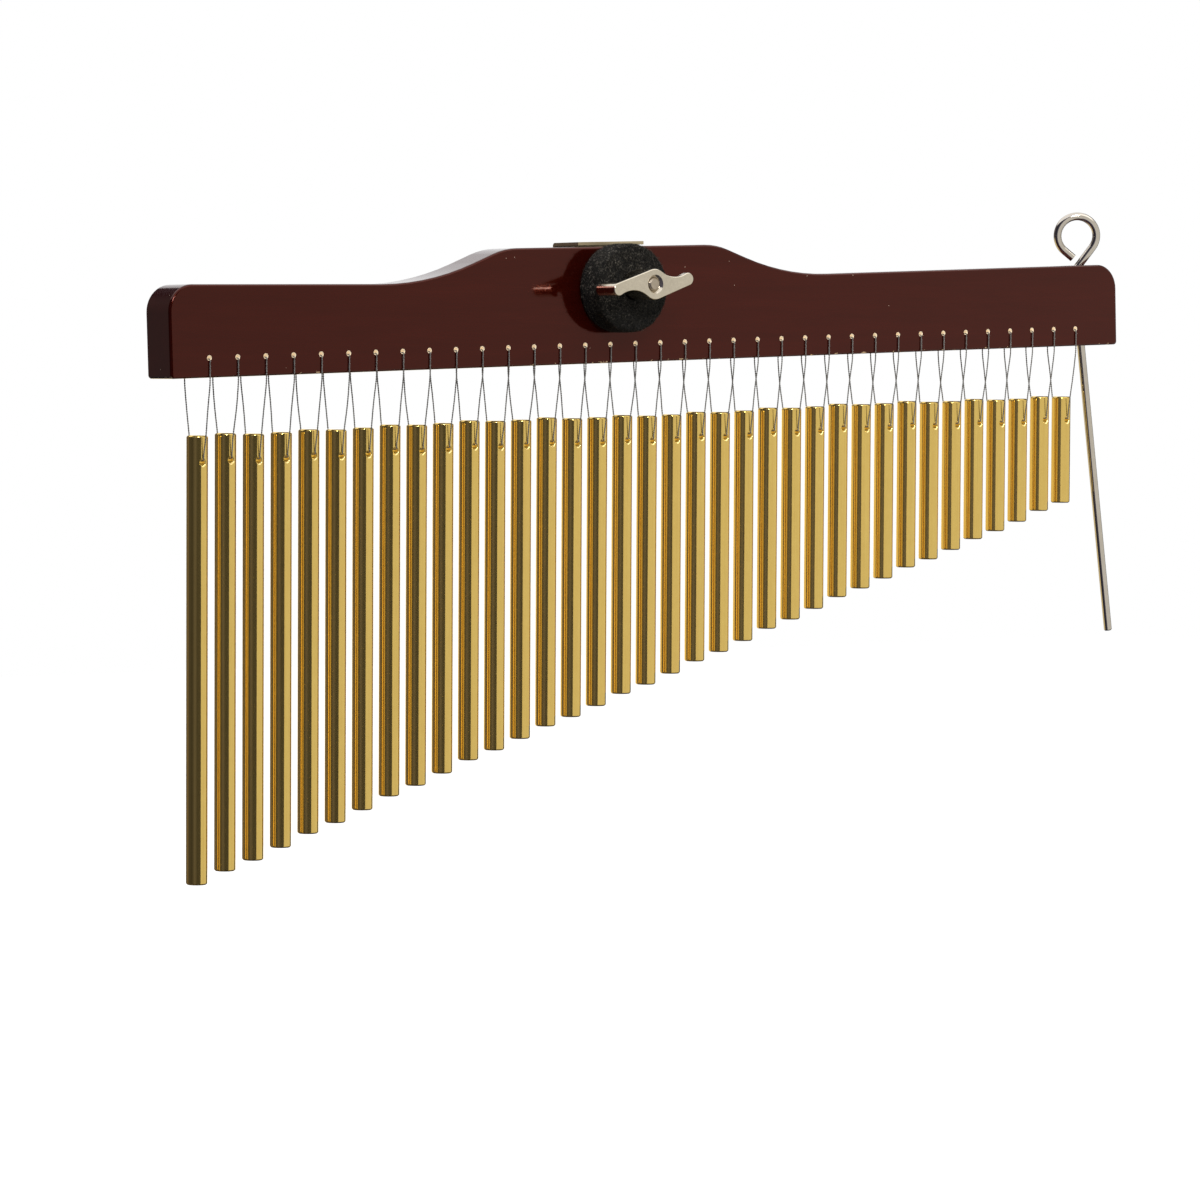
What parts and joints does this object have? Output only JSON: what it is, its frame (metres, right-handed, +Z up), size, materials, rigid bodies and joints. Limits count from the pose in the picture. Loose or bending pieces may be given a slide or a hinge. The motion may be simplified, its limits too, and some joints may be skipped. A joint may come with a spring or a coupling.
{
  "type": "bar chimes",
  "caption": "Single row of graded hanging metal rods on cord loops under a shaped wooden bar, with clamp stud, wing nut and stored striker.",
  "frame": {"origin": "on the mounting stud's axis, where its free plain shank leaves the hex flange behind the bar", "axes": "+Y along the stud, away from the player's side of the bar; +X along the row towards the short rods and the striker; +Z up, the way the rods hang being -Z"},
  "size_m": [0.5668, 0.0898, 0.3082],
  "materials": {
    "bar_wood": "gloss lacquer",
    "bracket_brass": "satin",
    "screw_steel": "zinc plated",
    "felt": "wool felt",
    "nut_nickel": "satin nickel",
    "stud_steel": "zinc plated",
    "striker_chrome": "polished",
    "chime_gold": "polished gold anodised"
  },
  "bodies": {
    "stud": {"mounting_stud": "stud_steel"},
    "bar": {"bar": "bar_wood", "mounting_bracket": "bracket_brass", "bracket_screws": "screw_steel", "felt_washer": "felt"},
    "wing_nut": {"wing_nut": "nut_nickel"},
    "striker": {"striker": "striker_chrome"},
    "chime_01": {"chime_01": "chime_gold"},
    "chime_02": {"chime_02": "chime_gold"},
    "chime_03": {"chime_03": "chime_gold"},
    "chime_04": {"chime_04": "chime_gold"},
    "chime_05": {"chime_05": "chime_gold"},
    "chime_06": {"chime_06": "chime_gold"},
    "chime_07": {"chime_07": "chime_gold"},
    "chime_08": {"chime_08": "chime_gold"},
    "chime_09": {"chime_09": "chime_gold"},
    "chime_10": {"chime_10": "chime_gold"},
    "chime_11": {"chime_11": "chime_gold"},
    "chime_12": {"chime_12": "chime_gold"},
    "chime_13": {"chime_13": "chime_gold"},
    "chime_14": {"chime_14": "chime_gold"},
    "chime_15": {"chime_15": "chime_gold"},
    "chime_16": {"chime_16": "chime_gold"},
    "chime_17": {"chime_17": "chime_gold"},
    "chime_18": {"chime_18": "chime_gold"},
    "chime_19": {"chime_19": "chime_gold"},
    "chime_20": {"chime_20": "chime_gold"},
    "chime_21": {"chime_21": "chime_gold"},
    "chime_22": {"chime_22": "chime_gold"},
    "chime_23": {"chime_23": "chime_gold"},
    "chime_24": {"chime_24": "chime_gold"},
    "chime_25": {"chime_25": "chime_gold"},
    "chime_26": {"chime_26": "chime_gold"},
    "chime_27": {"chime_27": "chime_gold"},
    "chime_28": {"chime_28": "chime_gold"},
    "chime_29": {"chime_29": "chime_gold"},
    "chime_30": {"chime_30": "chime_gold"},
    "chime_31": {"chime_31": "chime_gold"},
    "chime_32": {"chime_32": "chime_gold"},
    "chime_33": {"chime_33": "chime_gold"},
    "chime_34": {"chime_34": "chime_gold"},
    "chime_35": {"chime_35": "chime_gold"},
    "chime_36": {"chime_36": "chime_gold"}
  },
  "joints": [
    {"name": "bar_swivel", "type": "hinge", "parent": "stud", "child": "bar", "pos_m": [0, -0.0175, 0], "axis": [0, 1, 0], "range_deg": [-15, 15]},
    {"name": "wing_nut_turn", "type": "hinge", "parent": "stud", "child": "wing_nut", "pos_m": [0, -0.055, 0], "axis": [0, 1, 0], "continuous": true},
    {"name": "striker_lift", "type": "slide", "parent": "bar", "child": "striker", "axis": [-0.1416, 0, 0.9899], "range_m": [0, 0.19]},
    {"name": "chime_01_swing", "type": "hinge", "parent": "bar", "child": "chime_01", "pos_m": [-0.22087, -0.0175, -0.03574], "axis": [0, 1, 0], "range_deg": [-10, 20]},
    {"name": "chime_02_swing", "type": "hinge", "parent": "bar", "child": "chime_02", "pos_m": [-0.20628, -0.0175, -0.03522], "axis": [0, 1, 0], "range_deg": [-10, 20]},
    {"name": "chime_03_swing", "type": "hinge", "parent": "bar", "child": "chime_03", "pos_m": [-0.19169, -0.0175, -0.03469], "axis": [0, 1, 0], "range_deg": [-10, 20]},
    {"name": "chime_04_swing", "type": "hinge", "parent": "bar", "child": "chime_04", "pos_m": [-0.1771, -0.0175, -0.03418], "axis": [0, 1, 0], "range_deg": [-10, 20]},
    {"name": "chime_05_swing", "type": "hinge", "parent": "bar", "child": "chime_05", "pos_m": [-0.16251, -0.0175, -0.03366], "axis": [0, 1, 0], "range_deg": [-10, 20]},
    {"name": "chime_06_swing", "type": "hinge", "parent": "bar", "child": "chime_06", "pos_m": [-0.14791, -0.0175, -0.03314], "axis": [0, 1, 0], "range_deg": [-10, 20]},
    {"name": "chime_07_swing", "type": "hinge", "parent": "bar", "child": "chime_07", "pos_m": [-0.13332, -0.0175, -0.03262], "axis": [0, 1, 0], "range_deg": [-10, 20]},
    {"name": "chime_08_swing", "type": "hinge", "parent": "bar", "child": "chime_08", "pos_m": [-0.11873, -0.0175, -0.0321], "axis": [0, 1, 0], "range_deg": [-10, 20]},
    {"name": "chime_09_swing", "type": "hinge", "parent": "bar", "child": "chime_09", "pos_m": [-0.10414, -0.0175, -0.03158], "axis": [0, 1, 0], "range_deg": [-10, 20]},
    {"name": "chime_10_swing", "type": "hinge", "parent": "bar", "child": "chime_10", "pos_m": [-0.08955, -0.0175, -0.03106], "axis": [0, 1, 0], "range_deg": [-10, 20]},
    {"name": "chime_11_swing", "type": "hinge", "parent": "bar", "child": "chime_11", "pos_m": [-0.07496, -0.0175, -0.03054], "axis": [0, 1, 0], "range_deg": [-10, 20]},
    {"name": "chime_12_swing", "type": "hinge", "parent": "bar", "child": "chime_12", "pos_m": [-0.06037, -0.0175, -0.03002], "axis": [0, 1, 0], "range_deg": [-10, 20]},
    {"name": "chime_13_swing", "type": "hinge", "parent": "bar", "child": "chime_13", "pos_m": [-0.04578, -0.0175, -0.0295], "axis": [0, 1, 0], "range_deg": [-10, 20]},
    {"name": "chime_14_swing", "type": "hinge", "parent": "bar", "child": "chime_14", "pos_m": [-0.03119, -0.0175, -0.02898], "axis": [0, 1, 0], "range_deg": [-10, 20]},
    {"name": "chime_15_swing", "type": "hinge", "parent": "bar", "child": "chime_15", "pos_m": [-0.0166, -0.0175, -0.02846], "axis": [0, 1, 0], "range_deg": [-10, 20]},
    {"name": "chime_16_swing", "type": "hinge", "parent": "bar", "child": "chime_16", "pos_m": [-0.00201, -0.0175, -0.02794], "axis": [0, 1, 0], "range_deg": [-10, 20]},
    {"name": "chime_17_swing", "type": "hinge", "parent": "bar", "child": "chime_17", "pos_m": [0.01258, -0.0175, -0.02742], "axis": [0, 1, 0], "range_deg": [-10, 20]},
    {"name": "chime_18_swing", "type": "hinge", "parent": "bar", "child": "chime_18", "pos_m": [0.02718, -0.0175, -0.0269], "axis": [0, 1, 0], "range_deg": [-10, 20]},
    {"name": "chime_19_swing", "type": "hinge", "parent": "bar", "child": "chime_19", "pos_m": [0.04177, -0.0175, -0.02638], "axis": [0, 1, 0], "range_deg": [-10, 20]},
    {"name": "chime_20_swing", "type": "hinge", "parent": "bar", "child": "chime_20", "pos_m": [0.05636, -0.0175, -0.02586], "axis": [0, 1, 0], "range_deg": [-10, 20]},
    {"name": "chime_21_swing", "type": "hinge", "parent": "bar", "child": "chime_21", "pos_m": [0.07095, -0.0175, -0.02534], "axis": [0, 1, 0], "range_deg": [-10, 20]},
    {"name": "chime_22_swing", "type": "hinge", "parent": "bar", "child": "chime_22", "pos_m": [0.08554, -0.0175, -0.02482], "axis": [0, 1, 0], "range_deg": [-10, 20]},
    {"name": "chime_23_swing", "type": "hinge", "parent": "bar", "child": "chime_23", "pos_m": [0.10013, -0.0175, -0.0243], "axis": [0, 1, 0], "range_deg": [-10, 20]},
    {"name": "chime_24_swing", "type": "hinge", "parent": "bar", "child": "chime_24", "pos_m": [0.11472, -0.0175, -0.02378], "axis": [0, 1, 0], "range_deg": [-10, 20]},
    {"name": "chime_25_swing", "type": "hinge", "parent": "bar", "child": "chime_25", "pos_m": [0.12931, -0.0175, -0.02326], "axis": [0, 1, 0], "range_deg": [-10, 20]},
    {"name": "chime_26_swing", "type": "hinge", "parent": "bar", "child": "chime_26", "pos_m": [0.1439, -0.0175, -0.02274], "axis": [0, 1, 0], "range_deg": [-10, 20]},
    {"name": "chime_27_swing", "type": "hinge", "parent": "bar", "child": "chime_27", "pos_m": [0.15849, -0.0175, -0.02222], "axis": [0, 1, 0], "range_deg": [-10, 20]},
    {"name": "chime_28_swing", "type": "hinge", "parent": "bar", "child": "chime_28", "pos_m": [0.17308, -0.0175, -0.0217], "axis": [0, 1, 0], "range_deg": [-10, 20]},
    {"name": "chime_29_swing", "type": "hinge", "parent": "bar", "child": "chime_29", "pos_m": [0.18767, -0.0175, -0.02118], "axis": [0, 1, 0], "range_deg": [-10, 20]},
    {"name": "chime_30_swing", "type": "hinge", "parent": "bar", "child": "chime_30", "pos_m": [0.20226, -0.0175, -0.02066], "axis": [0, 1, 0], "range_deg": [-10, 20]},
    {"name": "chime_31_swing", "type": "hinge", "parent": "bar", "child": "chime_31", "pos_m": [0.21685, -0.0175, -0.02014], "axis": [0, 1, 0], "range_deg": [-10, 20]},
    {"name": "chime_32_swing", "type": "hinge", "parent": "bar", "child": "chime_32", "pos_m": [0.23145, -0.0175, -0.01962], "axis": [0, 1, 0], "range_deg": [-10, 20]},
    {"name": "chime_33_swing", "type": "hinge", "parent": "bar", "child": "chime_33", "pos_m": [0.24604, -0.0175, -0.0191], "axis": [0, 1, 0], "range_deg": [-10, 20]},
    {"name": "chime_34_swing", "type": "hinge", "parent": "bar", "child": "chime_34", "pos_m": [0.26063, -0.0175, -0.01858], "axis": [0, 1, 0], "range_deg": [-10, 20]},
    {"name": "chime_35_swing", "type": "hinge", "parent": "bar", "child": "chime_35", "pos_m": [0.27522, -0.0175, -0.01806], "axis": [0, 1, 0], "range_deg": [-10, 20]},
    {"name": "chime_36_swing", "type": "hinge", "parent": "bar", "child": "chime_36", "pos_m": [0.28981, -0.0175, -0.01755], "axis": [0, 1, 0], "range_deg": [-10, 20]}
  ],
  "couplings": [
    {"joint": "chime_02_swing", "follows": "chime_01_swing", "ratio": 1},
    {"joint": "chime_03_swing", "follows": "chime_01_swing", "ratio": 1},
    {"joint": "chime_04_swing", "follows": "chime_01_swing", "ratio": 1},
    {"joint": "chime_05_swing", "follows": "chime_01_swing", "ratio": 1},
    {"joint": "chime_06_swing", "follows": "chime_01_swing", "ratio": 1},
    {"joint": "chime_07_swing", "follows": "chime_01_swing", "ratio": 1},
    {"joint": "chime_08_swing", "follows": "chime_01_swing", "ratio": 1},
    {"joint": "chime_09_swing", "follows": "chime_01_swing", "ratio": 1},
    {"joint": "chime_10_swing", "follows": "chime_01_swing", "ratio": 1},
    {"joint": "chime_11_swing", "follows": "chime_01_swing", "ratio": 1},
    {"joint": "chime_12_swing", "follows": "chime_01_swing", "ratio": 1},
    {"joint": "chime_13_swing", "follows": "chime_01_swing", "ratio": 1},
    {"joint": "chime_14_swing", "follows": "chime_01_swing", "ratio": 1},
    {"joint": "chime_15_swing", "follows": "chime_01_swing", "ratio": 1},
    {"joint": "chime_16_swing", "follows": "chime_01_swing", "ratio": 1},
    {"joint": "chime_17_swing", "follows": "chime_01_swing", "ratio": 1},
    {"joint": "chime_18_swing", "follows": "chime_01_swing", "ratio": 1},
    {"joint": "chime_19_swing", "follows": "chime_01_swing", "ratio": 1},
    {"joint": "chime_20_swing", "follows": "chime_01_swing", "ratio": 1},
    {"joint": "chime_21_swing", "follows": "chime_01_swing", "ratio": 1},
    {"joint": "chime_22_swing", "follows": "chime_01_swing", "ratio": 1},
    {"joint": "chime_23_swing", "follows": "chime_01_swing", "ratio": 1},
    {"joint": "chime_24_swing", "follows": "chime_01_swing", "ratio": 1},
    {"joint": "chime_25_swing", "follows": "chime_01_swing", "ratio": 1},
    {"joint": "chime_26_swing", "follows": "chime_01_swing", "ratio": 1},
    {"joint": "chime_27_swing", "follows": "chime_01_swing", "ratio": 1},
    {"joint": "chime_28_swing", "follows": "chime_01_swing", "ratio": 1},
    {"joint": "chime_29_swing", "follows": "chime_01_swing", "ratio": 1},
    {"joint": "chime_30_swing", "follows": "chime_01_swing", "ratio": 1},
    {"joint": "chime_31_swing", "follows": "chime_01_swing", "ratio": 1},
    {"joint": "chime_32_swing", "follows": "chime_01_swing", "ratio": 1},
    {"joint": "chime_33_swing", "follows": "chime_01_swing", "ratio": 1},
    {"joint": "chime_34_swing", "follows": "chime_01_swing", "ratio": 1},
    {"joint": "chime_35_swing", "follows": "chime_01_swing", "ratio": 1},
    {"joint": "chime_36_swing", "follows": "chime_01_swing", "ratio": 1}
  ]
}
